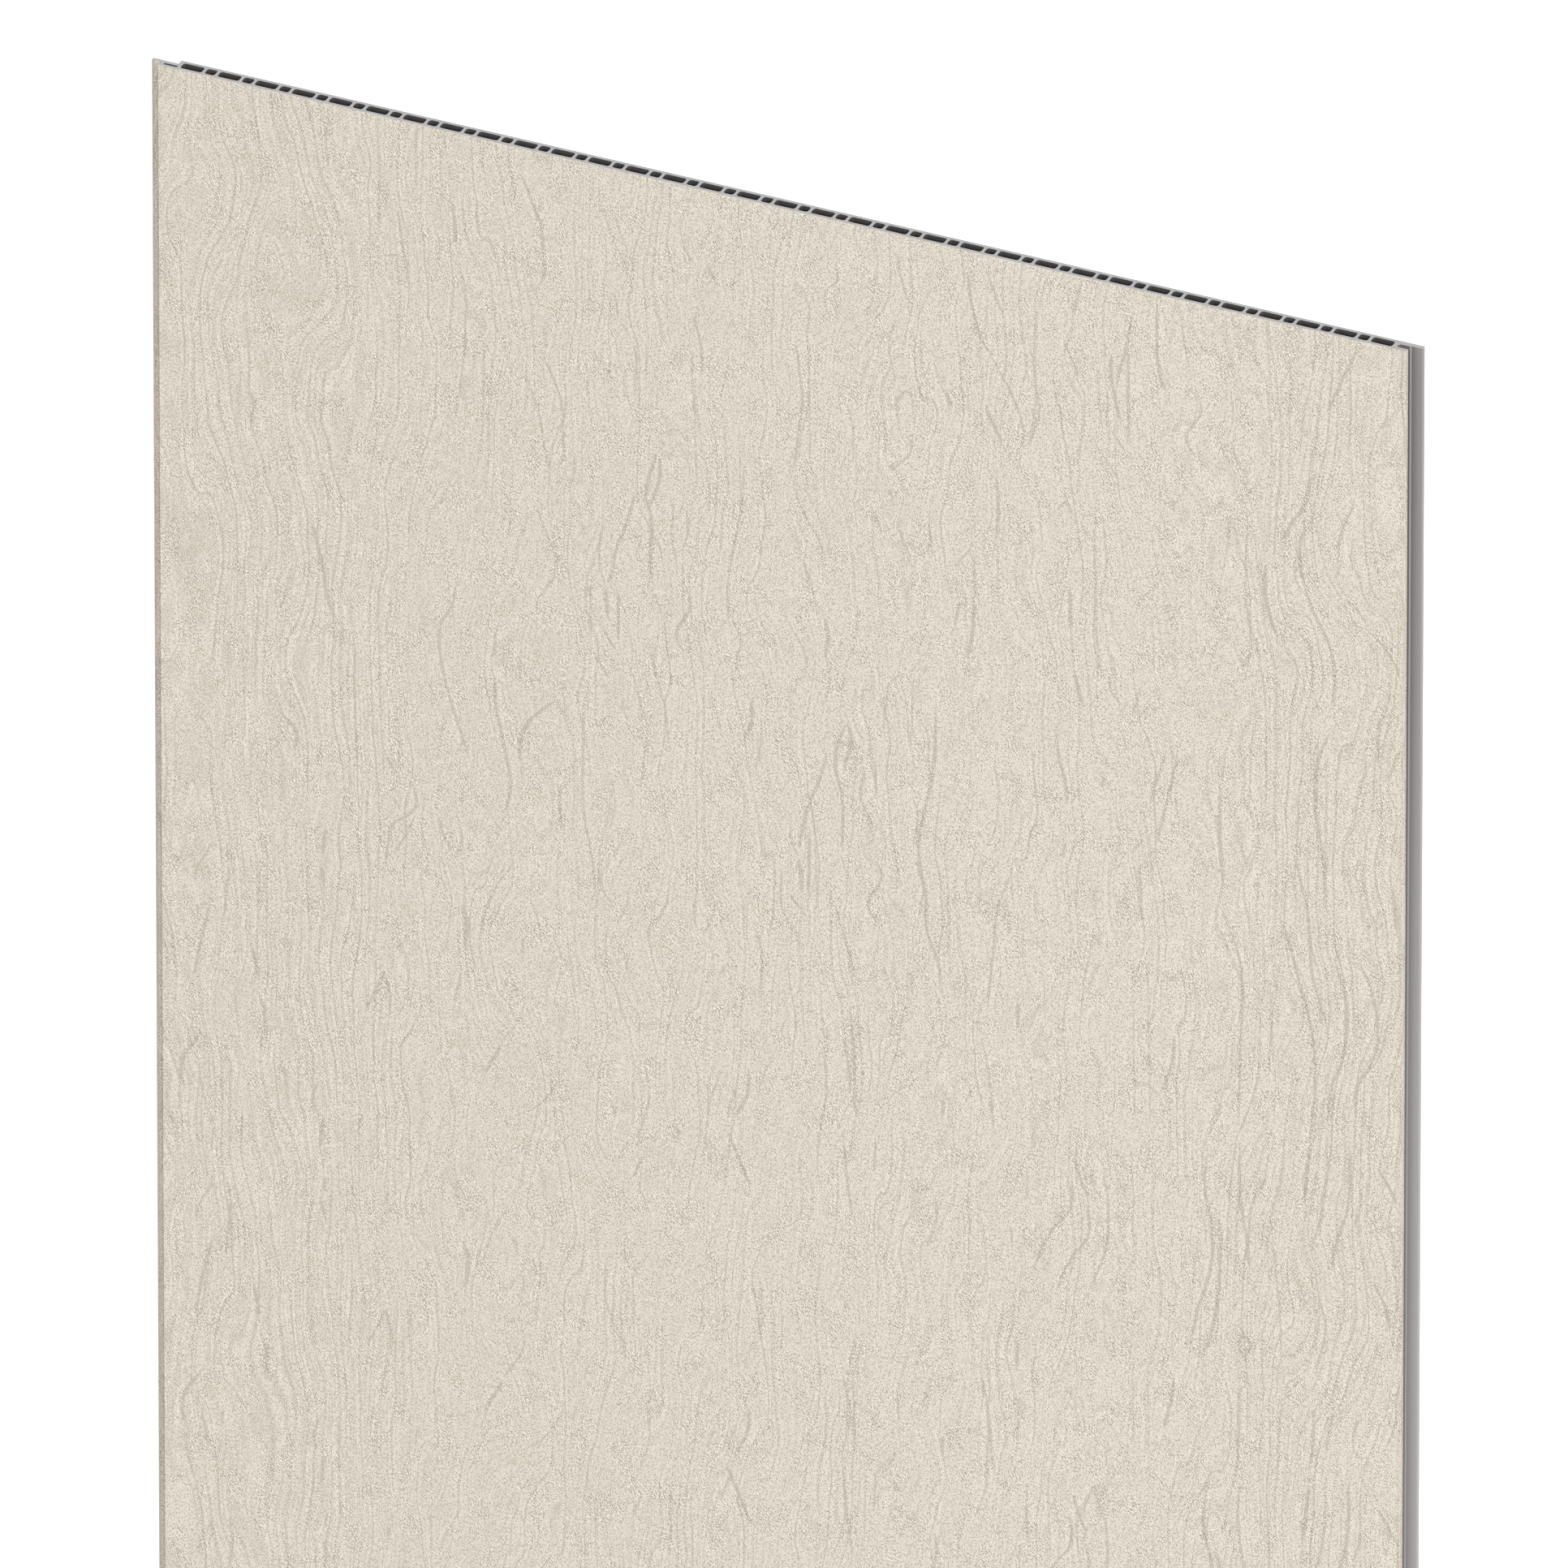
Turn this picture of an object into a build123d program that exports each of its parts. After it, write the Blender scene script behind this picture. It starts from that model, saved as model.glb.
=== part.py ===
from build123d import *
import os

# Hollow wall panel: an extruded board with a tongue along one edge and a groove along the other,
# faced with an embossed film. It lies on its back with the face up, as it is stored.
# X runs across the width from the tongue to the groove, Y along the length, Z through the thickness.
# The origin is on the floor under the middle of the panel. Sizes are in millimetres.

# Overall sizes
cover_width = 600.0
thickness = 8.0
length = 3000.0

# Film over the face, the groove's lip and the tongue
film_thickness = 0.2
film_turn_under = 4.1

# Chambers that run the whole length, wide and narrow ones by turns
wide_chamber = 10.24
narrow_chamber = 4.78
web = 1.43
front_skin = 1.75
back_skin = 1.75
chamber_radius = 1.1

# Tongue along the left edge, measured on the film that wraps it
tongue_reach = 4.35
tongue_step = 3.15
tongue_thickness = 1.85
tongue_radius = 0.35

# Slim slot that lightens the board behind the tongue
slot_from_edge = 2.0
slot_skin = 1.65
slot_height = 1.2
slot_radius = 0.3

# Groove along the right edge takes the next panel's tongue with this play all round
play_above = 0.65
play_below = 0.2
play_at_end = 1.0
groove_radius = 1.2
groove_edge_radius = 0.3
groove_wall = 2.0

# Nailing flange behind the groove, and the shoulder that stands clear of the next panel's flange
flange_reach = 5.55
flange_relief = 0.4
flange_bevel = 0.5
flange_clear_of_lip = 0.2
flange_chamfer = 0.25
flange_radius = 0.3
shoulder_play = 2.4
shoulder_wall = 2.0
corner_radius = 0.15

# Places that follow from the sizes: across from the face's left edge, and down from the face
tongue_tip = -tongue_reach
tongue_back = tongue_step + tongue_thickness - film_thickness
groove_top = tongue_step - play_above
groove_floor = tongue_step + tongue_thickness + play_below
groove_end = cover_width - tongue_reach - play_at_end
flange_face = groove_floor + flange_relief
flange_start = cover_width + flange_clear_of_lip
flange_tip = cover_width + flange_reach
shoulder = flange_reach + shoulder_play
first_chamber = shoulder + shoulder_wall
slot_end = first_chamber - web
middle = (tongue_tip + flange_tip) / 2


def section_point(across, down):
    """A point of the cross-section from its place across the face and its depth below the face."""
    return (across - middle, thickness - down)


def outline(corners):
    """A closed face in the cross-section from (across, down, radius) corners."""
    points = [section_point(across, down) for across, down, _ in corners]
    radii = [radius for _, _, radius in corners]
    return Plane.XZ * make_face(FilletPolyline(*points, radius=radii, close=True))


def board_outline():
    """The outer shape of the extruded board, without the film."""
    return outline([
        (film_thickness, film_thickness, corner_radius),
        (cover_width - film_thickness, film_thickness, corner_radius),
        (cover_width - film_thickness, groove_top, 0),
        (groove_end, groove_top, groove_edge_radius),
        (groove_end, groove_floor, groove_radius),
        (flange_start - flange_bevel, groove_floor, 0),
        (flange_start, flange_face, 0),
        (flange_tip - flange_chamfer, flange_face, 0),
        (flange_tip, flange_face + flange_chamfer, 0),
        (flange_tip, thickness, flange_radius),
        (shoulder, thickness, corner_radius),
        (shoulder, tongue_back, corner_radius),
        (tongue_tip + film_thickness, tongue_back, tongue_radius),
        (tongue_tip + film_thickness, tongue_step + film_thickness, corner_radius),
        (film_thickness, tongue_step + film_thickness, 0),
    ])


def film_outline():
    """The film's band, wrapped from the groove's lip over the face and round the tongue."""
    outer_radius = corner_radius + film_thickness
    wrap_end = tongue_tip + film_turn_under
    return outline([
        (cover_width, groove_top, 0),
        (cover_width, 0, outer_radius),
        (0, 0, outer_radius),
        (0, tongue_step, 0),
        (tongue_tip, tongue_step, outer_radius),
        (tongue_tip, tongue_back + film_thickness, tongue_radius + film_thickness),
        (wrap_end, tongue_back + film_thickness, 0),
        (wrap_end, tongue_back, 0),
        (tongue_tip + film_thickness, tongue_back, tongue_radius),
        (tongue_tip + film_thickness, tongue_step + film_thickness, corner_radius),
        (film_thickness, tongue_step + film_thickness, 0),
        (film_thickness, film_thickness, corner_radius),
        (cover_width - film_thickness, film_thickness, corner_radius),
        (cover_width - film_thickness, groove_top, 0),
    ])


def hole(left, top, width, height, radius):
    """A rounded hole in the cross-section from its left side, its depth, its size and corner radius."""
    return outline([
        (left, top, radius),
        (left + width, top, radius),
        (left + width, top + height, radius),
        (left, top + height, radius),
    ])


def chambers():
    """Wide and narrow chambers by turns, for as long as a wall is left before the groove."""
    height = thickness - front_skin - back_skin
    found = []
    left = first_chamber
    width = wide_chamber
    while left + width + groove_wall <= groove_end:
        found.append(hole(left, front_skin, width, height, chamber_radius))
        left += width + web
        width = narrow_chamber if width == wide_chamber else wide_chamber
    return found


def extruded(face):
    """A cross-section carried along the whole length, half of it to each side of the middle."""
    return extrude(face, amount=length / 2, both=True)


def hollow_board():
    """The extruded board with its chambers and the slot behind the tongue."""
    slot = hole(slot_from_edge, slot_skin, slot_end - slot_from_edge, slot_height, slot_radius)
    return extruded(board_outline() - [slot, *chambers()])


def decor_film():
    """The embossed film as one thin wrapped skin that lies on the board."""
    return extruded(film_outline())


os.makedirs("parts", exist_ok=True)
for name, solid in {"hollow_board": hollow_board(), "decor_film": decor_film()}.items():
    export_step(solid, f"parts/{name}.step")
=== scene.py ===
# %% [markdown]
# # A hollow wall panel
# The object is one piece of building stock: a grey extruded board with long chambers inside it, a tongue
# along its left edge and a groove with a nailing flange along its right edge. A thin printed and embossed
# film is laminated over its face. It lies on its back on a white floor, and the camera looks down on its
# sawn end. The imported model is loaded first, because the panel's outer sizes and place are read from it.

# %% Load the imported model
import math

import bpy
import numpy as np
from mathutils import Matrix, Vector
from mathutils.geometry import tessellate_polygon


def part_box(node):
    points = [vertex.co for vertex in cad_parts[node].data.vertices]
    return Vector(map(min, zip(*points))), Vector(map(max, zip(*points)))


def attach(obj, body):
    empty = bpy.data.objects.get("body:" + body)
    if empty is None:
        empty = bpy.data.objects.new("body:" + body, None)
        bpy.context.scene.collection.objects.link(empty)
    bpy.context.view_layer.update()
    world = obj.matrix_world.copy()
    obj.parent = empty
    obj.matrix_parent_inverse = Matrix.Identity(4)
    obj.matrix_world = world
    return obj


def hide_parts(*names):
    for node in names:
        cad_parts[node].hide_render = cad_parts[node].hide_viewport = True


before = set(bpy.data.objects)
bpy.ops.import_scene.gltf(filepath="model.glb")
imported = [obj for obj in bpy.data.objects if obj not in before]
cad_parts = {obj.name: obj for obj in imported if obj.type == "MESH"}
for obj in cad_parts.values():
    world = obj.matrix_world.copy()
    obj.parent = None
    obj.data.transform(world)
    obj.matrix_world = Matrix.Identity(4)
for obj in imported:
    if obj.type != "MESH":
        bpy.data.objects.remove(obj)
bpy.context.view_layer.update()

# %% [markdown]
# ## Sizes
# Blender works in metres. The panel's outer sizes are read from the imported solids, and the section's own
# sizes are the ones the die would be cut to. Places in the section are given as a distance across from the
# face's left edge and a depth below the face, which is how the section would be drawn on paper.

# %% Sizes of the section
MM = 0.001
film_low, film_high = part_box("decor_film")
board_low, board_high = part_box("hollow_board")

half_length = board_high.y
face_height = film_high.z
tongue_reach = 4.35 * MM
face_left = film_low.x + tongue_reach
cover_width = film_high.x - face_left
flange_reach = board_high.x - film_high.x

film_thickness = 0.2 * MM
film_turn_under = 4.1 * MM
tongue_step = 3.15 * MM
tongue_thickness = 1.85 * MM
tongue_radius = 0.35 * MM
corner_radius = 0.15 * MM

wide_chamber = 10.24 * MM
narrow_chamber = 4.78 * MM
web = 1.43 * MM
skin = 1.75 * MM
chamber_radius = 1.1 * MM

slot_from_edge = 2.0 * MM
slot_skin = 1.65 * MM
slot_height = 1.2 * MM
slot_radius = 0.3 * MM

play_above = 0.65 * MM
play_below = 0.2 * MM
play_at_end = 1.0 * MM
groove_radius = 1.2 * MM
groove_edge_radius = 0.3 * MM
groove_wall = 2.0 * MM

flange_relief = 0.4 * MM
flange_bevel = 0.5 * MM
flange_clear_of_lip = 0.2 * MM
flange_chamfer = 0.25 * MM
flange_radius = 0.3 * MM
shoulder_play = 2.4 * MM
shoulder_wall = 2.0 * MM

tongue_tip = -tongue_reach
tongue_back = tongue_step + tongue_thickness - film_thickness
groove_top = tongue_step - play_above
groove_floor = tongue_step + tongue_thickness + play_below
groove_end = cover_width - tongue_reach - play_at_end
flange_face = groove_floor + flange_relief
flange_start = cover_width + flange_clear_of_lip
flange_tip = cover_width + flange_reach
shoulder = flange_reach + shoulder_play
first_chamber = shoulder + shoulder_wall
print(f"cover {cover_width / MM:.1f}, length {2 * half_length / MM:.0f}, height {face_height / MM:.1f} mm")

# %% [markdown]
# ## Rounded outlines
# An extrusion's section is straight runs joined by small arcs. It could be drawn as a curve with bevelled
# points, but worked out with numpy every arc's place is exact, and the same points serve the long walls and
# the sawn ends, so the mesh closes without any merging.

# %% Outline of a section with its corners rounded
ARC_STEPS = 7
SAME_POINT = 1e-7


def rounded_outline(corners):
    """Points of a closed outline from rows of (across, down, radius).

    With unit vectors a and b from a corner towards its neighbours and t the angle between them, the arc
    starts radius / tan(t / 2) along a and ends as far along b. Its centre lies radius / sin(t / 2) along
    a + b, and its points turn about that by spherical interpolation from one tangent point to the other."""
    corner = np.asarray(corners, float)
    point, radius = corner[:, :2], corner[:, 2:]
    to_last = np.roll(point, 1, 0) - point
    to_next = np.roll(point, -1, 0) - point
    to_last /= np.linalg.norm(to_last, axis=1, keepdims=True)
    to_next /= np.linalg.norm(to_next, axis=1, keepdims=True)
    between = np.arccos(np.clip((to_last * to_next).sum(1, keepdims=True), -1, 1))
    middle_way = to_last + to_next
    middle_way /= np.linalg.norm(middle_way, axis=1, keepdims=True)
    centre = point + middle_way * radius / np.sin(between / 2)
    run = radius / np.tan(between / 2)
    first = point + to_last * run - centre
    last = point + to_next * run - centre
    turn = (np.pi - between)[:, None]
    share = np.linspace(0, 1, ARC_STEPS + 1)[None, :, None]
    swept = np.sin((1 - share) * turn) * first[:, None] + np.sin(share * turn) * last[:, None]
    points = (centre[:, None] + swept / np.sin(turn)).reshape(-1, 2)
    apart = np.linalg.norm(points - np.roll(points, 1, 0), axis=1)
    return points[apart > SAME_POINT]


def hole_outline(left, top, width, height, radius):
    """A rounded rectangle, from its left side and its depth, as a closed outline."""
    return rounded_outline([
        (left, top, radius),
        (left + width, top, radius),
        (left + width, top + height, radius),
        (left, top + height, radius),
    ])


# %% [markdown]
# ## Carrying a section along the panel
# Blender could extrude a filled curve, but that leaves two loose end caps. Here the outlines are repeated
# at stations along the length as one array, neighbouring stations are joined by quads, and the two ends are
# filled between the outer outline and the holes with triangles that use the same points.

# %% Mesh of an outline carried along the length
STATIONS = 13


def signed_area(points):
    """Half the sum of the cross products of neighbouring points: positive where the outline turns left."""
    after = np.roll(points, -1, 0)
    return 0.5 * (points[:, 0] * after[:, 1] - after[:, 0] * points[:, 1]).sum()


def section_to_frame(points):
    """Across and down turned into x and z of the frame: x = left edge + across, z = face height - down."""
    return np.column_stack([face_left + points[:, 0], face_height - points[:, 1]])


def carried_mesh(name, outer, holes=()):
    """A closed mesh of the section carried from end to end, its sawn ends in slot 1 and its holes in slot 2.

    The outer outline turns left and the holes turn right, seen against the length. Point i of station j is
    number j * n + i. Each quad joins points i and i + 1 of stations j and j + 1, so all of them face out."""
    loops = [section_to_frame(outer)] + [section_to_frame(hole) for hole in holes]
    wanted = [1.0] + [-1.0] * len(holes)
    loops = [loop if signed_area(loop) * sign > 0 else loop[::-1] for loop, sign in zip(loops, wanted)]
    ring = np.concatenate(loops)
    count = len(ring)
    along = np.linspace(-half_length, half_length, STATIONS)
    points = np.empty((STATIONS, count, 3))
    points[:, :, 0] = ring[:, 0]
    points[:, :, 2] = ring[:, 1]
    points[:, :, 1] = along[:, None]
    starts = np.cumsum([0] + [len(loop) for loop in loops])
    here = np.arange(count)
    after = here + 1
    after[starts[1:] - 1] = starts[:-1]
    base = (np.arange(STATIONS - 1) * count)[:, None]
    quads = np.stack([base + here, base + here + count, base + after + count, base + after], axis=-1)
    fill = np.array(tessellate_polygon([[Vector((*p, 0.0)) for p in loop] for loop in loops]))
    a, b, c = (ring[fill[:, k]] for k in range(3))
    turns_left = np.cross(b - a, c - a) > 0
    fill[~turns_left] = fill[~turns_left][:, ::-1]
    far = fill[:, ::-1] + (STATIONS - 1) * count
    mesh = bpy.data.meshes.new(name)
    faces = quads.reshape(-1, 4).tolist() + fill.tolist() + far.tolist()
    mesh.from_pydata(points.reshape(-1, 3).tolist(), [], faces)
    slots = np.ones(len(faces), np.int32)
    slots[:quads.shape[0] * count] = np.tile(np.where(here < starts[1], 0, 2), quads.shape[0])
    mesh.polygons.foreach_set("material_index", slots)
    piece = bpy.data.objects.new(name, mesh)
    bpy.context.scene.collection.objects.link(piece)
    litres = sum(signed_area(loop) for loop in loops) * 2 * half_length * 1000
    print(f"{name}: {len(loops)} outlines, {count} points round, {len(faces)} faces, {litres:.3f} litres")
    return piece


# %% [markdown]
# ## The extruded board
# Skins, webs, tongue, groove, shoulder and flange come out of one die, so they are one mesh. Wide and
# narrow chambers take turns across the width for as long as a wall is left before the groove, and a slim
# slot lightens the board just behind the tongue.

# %% Board
board_outer = rounded_outline([
    (film_thickness, film_thickness, corner_radius),
    (cover_width - film_thickness, film_thickness, corner_radius),
    (cover_width - film_thickness, groove_top, 0),
    (groove_end, groove_top, groove_edge_radius),
    (groove_end, groove_floor, groove_radius),
    (flange_start - flange_bevel, groove_floor, 0),
    (flange_start, flange_face, 0),
    (flange_tip - flange_chamfer, flange_face, 0),
    (flange_tip, flange_face + flange_chamfer, 0),
    (flange_tip, face_height, flange_radius),
    (shoulder, face_height, corner_radius),
    (shoulder, tongue_back, corner_radius),
    (tongue_tip + film_thickness, tongue_back, tongue_radius),
    (tongue_tip + film_thickness, tongue_step + film_thickness, corner_radius),
    (film_thickness, tongue_step + film_thickness, 0),
])


def chamber_outlines():
    """Wide and narrow chambers by turns, each one web further across than the end of the last."""
    height = face_height - 2 * skin
    found = []
    left = first_chamber
    width = wide_chamber
    while left + width + groove_wall <= groove_end:
        found.append(hole_outline(left, skin, width, height, chamber_radius))
        left += width + web
        width = narrow_chamber if width == wide_chamber else wide_chamber
    return found


slot_length = first_chamber - web - slot_from_edge
slot_outline = hole_outline(slot_from_edge, slot_skin, slot_length, slot_height, slot_radius)
board = carried_mesh("board", board_outer, [slot_outline, *chamber_outlines()])
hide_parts("hollow_board")
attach(board, "root")

# %% [markdown]
# ## The film
# The film is one thin band: it starts at the groove's mouth, goes up the panel's right side, over the face,
# down the step on the left, round the tongue and a little way back under it. It is modelled at its real
# thickness, so its cut edge shows on the sawn end and beside the groove.

# %% Film
outer_radius = corner_radius + film_thickness
wrap_end = tongue_tip + film_turn_under
film_outer = rounded_outline([
    (cover_width, groove_top, 0),
    (cover_width, 0, outer_radius),
    (0, 0, outer_radius),
    (0, tongue_step, 0),
    (tongue_tip, tongue_step, outer_radius),
    (tongue_tip, tongue_back + film_thickness, tongue_radius + film_thickness),
    (wrap_end, tongue_back + film_thickness, 0),
    (wrap_end, tongue_back, 0),
    (tongue_tip + film_thickness, tongue_back, tongue_radius),
    (tongue_tip + film_thickness, tongue_step + film_thickness, corner_radius),
    (film_thickness, tongue_step + film_thickness, 0),
    (film_thickness, film_thickness, corner_radius),
    (cover_width - film_thickness, film_thickness, corner_radius),
    (cover_width - film_thickness, groove_top, 0),
])
film = carried_mesh("film", film_outer)
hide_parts("decor_film")
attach(film, "root")

# %% [markdown]
# ## Laying out shader nodes
# Materials here are node trees made in code. Small helpers keep them readable: they add a node and join its
# inputs, do arithmetic, take a place apart, ease a value between two limits, make noise whose blobs have a
# size in millimetres, and build and use node groups.

# %% Helpers for node trees
def add_node(tree, kind, joined=None, **settings):
    """A new node with its settings. joined gives an input a plain value or another node's output."""
    made = tree.nodes.new(kind)
    for name, value in settings.items():
        setattr(made, name, value)
    for name, value in (joined or {}).items():
        if isinstance(value, bpy.types.NodeSocket):
            tree.links.new(value, made.inputs[name])
        else:
            made.inputs[name].default_value = value
    return made


def calculate(tree, operation, *values):
    """The output of a Math node on one to three values or sockets."""
    return add_node(tree, "ShaderNodeMath", dict(enumerate(values)), operation=operation).outputs[0]


def vector_math(tree, operation, first, second):
    """The outputs of a Vector Math node on two places or sizes."""
    return add_node(tree, "ShaderNodeVectorMath", {0: first, 1: second}, operation=operation).outputs


def parts_of(tree, place):
    """The X, Y and Z of a place."""
    return add_node(tree, "ShaderNodeSeparateXYZ", {"Vector": place}).outputs


def place_of(tree, across, along=0.0):
    """A place from its measures across and along."""
    return add_node(tree, "ShaderNodeCombineXYZ", {"X": across, "Y": along}).outputs[0]


def ease(tree, value, low, high, start=0.0, end=1.0):
    """value eased by a smooth step: start at low and below, end at high and above."""
    joined = {"Value": value, "From Min": low, "From Max": high, "To Min": start, "To Max": end}
    return add_node(tree, "ShaderNodeMapRange", joined, interpolation_type="SMOOTHSTEP").outputs[0]


def scaled(tree, place, size):
    """place divided by a size in each direction, both in millimetres."""
    return vector_math(tree, "MULTIPLY", place, tuple(1 / part for part in size))[0]


def noise(tree, place, size, detail=0.0, flat=True):
    """Noise between 0 and 1 whose blobs have about that size, in millimetres."""
    joined = {"Vector": scaled(tree, place, size), "Scale": 1.0, "Detail": detail}
    kind = "2D" if flat else "3D"
    return add_node(tree, "ShaderNodeTexNoise", joined, noise_dimensions=kind).outputs["Fac"]


def mixed(tree, share, first, second):
    """Two colours mixed by a share between 0 and 1."""
    joined = {"Factor": share, 6: first, 7: second}
    return add_node(tree, "ShaderNodeMix", joined, data_type="RGBA").outputs[2]


def srgb(*levels):
    """A colour given by its screen levels from 0 to 255, as the linear values that Blender wants."""
    share = np.array(levels) / 255
    linear = np.where(share <= 0.04045, share / 12.92, ((share + 0.055) / 1.055) ** 2.4)
    return (*linear.tolist(), 1.0)


VECTOR_SOCKETS = {"Place", "Centre", "Size"}


def new_group(name, inputs, outputs):
    """An empty shader node group with sockets of those labels, and the sockets inside it at its two ends."""
    group = bpy.data.node_groups.new(name, "ShaderNodeTree")
    for side, labels in (("INPUT", inputs), ("OUTPUT", outputs)):
        for label in labels:
            kind = "NodeSocketVector" if label in VECTOR_SOCKETS else "NodeSocketFloat"
            group.interface.new_socket(label, in_out=side, socket_type=kind)
    return group, add_node(group, "NodeGroupInput").outputs, add_node(group, "NodeGroupOutput").inputs


def use(tree, group, **joined):
    """The outputs of a node group placed in a tree, with values or sockets for its inputs."""
    return add_node(tree, "ShaderNodeGroup", joined, node_tree=group).outputs


def new_material(name, roughness):
    """A material with an empty tree, its shader and its output."""
    material = bpy.data.materials.new(name)
    material.use_nodes = True
    tree = material.node_tree
    tree.nodes.clear()
    shader = add_node(tree, "ShaderNodeBsdfPrincipled", {"Roughness": roughness})
    add_node(tree, "ShaderNodeOutputMaterial", {"Surface": shader.outputs[0]})
    return material, tree, shader


# %% [markdown]
# ## The camera's place
# The photo is nearly a parallel projection, so the camera stands far away behind a very long lens. Its
# place is worked out here already, because the print's figures were traced over the picture: a point of the
# picture is turned into the place on the face that the camera sees there.

# %% Camera place, and the place on the face under a point of the picture
SIDE_ANGLE = math.radians(25)
RISE_ANGLE = math.radians(30)
LENS = 1700.0
SENSOR = 36.0
PICTURE = 1024
frame_width = 686.4 * MM
middle_across = 298.4 * MM
middle_along = half_length - 294.4 * MM

right = Vector((math.cos(SIDE_ANGLE), 0, -math.sin(SIDE_ANGLE)))
back = Vector((math.cos(RISE_ANGLE) * math.sin(SIDE_ANGLE), math.sin(RISE_ANGLE),
               math.cos(RISE_ANGLE) * math.cos(SIDE_ANGLE)))
up = back.cross(right)
aim = Vector((face_left + middle_across, middle_along, 0))
distance = frame_width * LENS / SENSOR


def place_under(x, y):
    """(across, along) on the film in millimetres where the ray of picture point (x, y) meets the face."""
    eye = aim + back * distance
    ray = right * (x / PICTURE - 0.5) * SENSOR + up * (0.5 - y / PICTURE) * SENSOR - back * LENS
    hit = eye + ray * (face_height - eye.z) / ray.z
    return (hit.x - face_left) / MM, (half_length - hit.y) / MM


in_the_middle = [round(value) for value in place_under(PICTURE / 2, PICTURE / 2)]
print("the picture's middle is at", in_the_middle, "mm on the film")

# %% [markdown]
# ## The print's coordinates
# The film was printed flat and then wrapped, so the grain has to run on from the face round the edges. The
# place on the flat film is stored at every point of the mesh, in millimetres: across from the face's left
# edge, and along from the end that the camera sees. The material reads that.

# %% Place on the flat film
def store_print_place(piece, outline):
    """Stores (length along the outline, length from the near end, 0) at each point.

    The first is the running sum of the outline's steps, measured from its first point, turned round so that
    it grows towards the right like the face's own measure across."""
    step = np.linalg.norm(np.diff(outline, axis=0), axis=1)
    run = np.concatenate([[0.0], np.cumsum(step)])
    count = len(piece.data.vertices)
    place = np.zeros((STATIONS, len(outline), 3))
    place[:, :, 0] = (cover_width + groove_top - run) / MM
    place[:, :, 1] = np.linspace(2 * half_length, 0, STATIONS)[:, None] / MM
    attribute = piece.data.attributes.new("print_place", "FLOAT_VECTOR", "POINT")
    attribute.data.foreach_set("vector", place.reshape(-1).astype(np.float32))
    print("print stored at", count, "points")


store_print_place(film, film_outer)

# %% [markdown]
# ## Wood grain
# Grain lines are the contour lines of a slowly rolling height, as growth rings are where a saw cuts them.
# The height rises steadily across the panel and is bent by noise that is stretched along the length, so the
# lines run along the panel, crowd together and close into eyes. Two bundles near the edges swing to and fro
# along given curves, and a few knots push the lines aside. The printing roller repeats the lower
# figures. A swing is its place across, half its width, and pushes at places along. A knot is its place
# across and along, half its width and half its length, and its push.

# %% Figures given in millimetres across and along the film
FIRST_REPEAT = 372.0
REPEAT = 171.7
SWING_REACH = 30.0
ROLLER_LENGTH = FIRST_REPEAT + REPEAT
swings = {
    "left edge": (31, 15, [
        (0, -12), (30, -7), (62, 2), (95, -2), (125, -7), (160, -4), (200, 6), (245, 14), (285, 8),
        (330, 2), (372, -4), (430, 2), (470, -8), (510, -2), (543, -4)]),
    "left": (72, 20, [
        (0, -16), (30, -10), (60, 2), (85, 5), (110, -4), (140, -14), (175, -8), (215, 6), (250, 12),
        (290, 9), (340, 14), (372, 4), (440, -4), (500, 3), (543, 4)]),
    "right": (562, 17, [
        (0, 14), (40, 6), (80, -6), (105, -12), (140, -2), (170, 7), (200, -2), (250, -4), (300, 0),
        (345, 9), (372, 2), (430, -4), (480, 4), (520, 8), (543, 2)]),
    "right edge": (588, 9, [
        (0, 8), (40, 2), (80, -8), (110, -10), (150, 6), (190, 4), (250, -6), (300, 2), (345, 8),
        (372, -2), (430, -6), (480, 5), (520, 4), (543, -2)]),
}
knots = [
    (55, 84, 10, 30, 17),
    (593, 205, 8, 22, 12),
    (545, 136, 7, 20, 9),
    (8, 75, 7, 16, 9),
    (158, 410, 14, 30, 12),
    (172, 470, 20, 32, -16),
    (112, 330, 6, 24, 7),
    (255, 420, 6, 14, 7),
]
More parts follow.
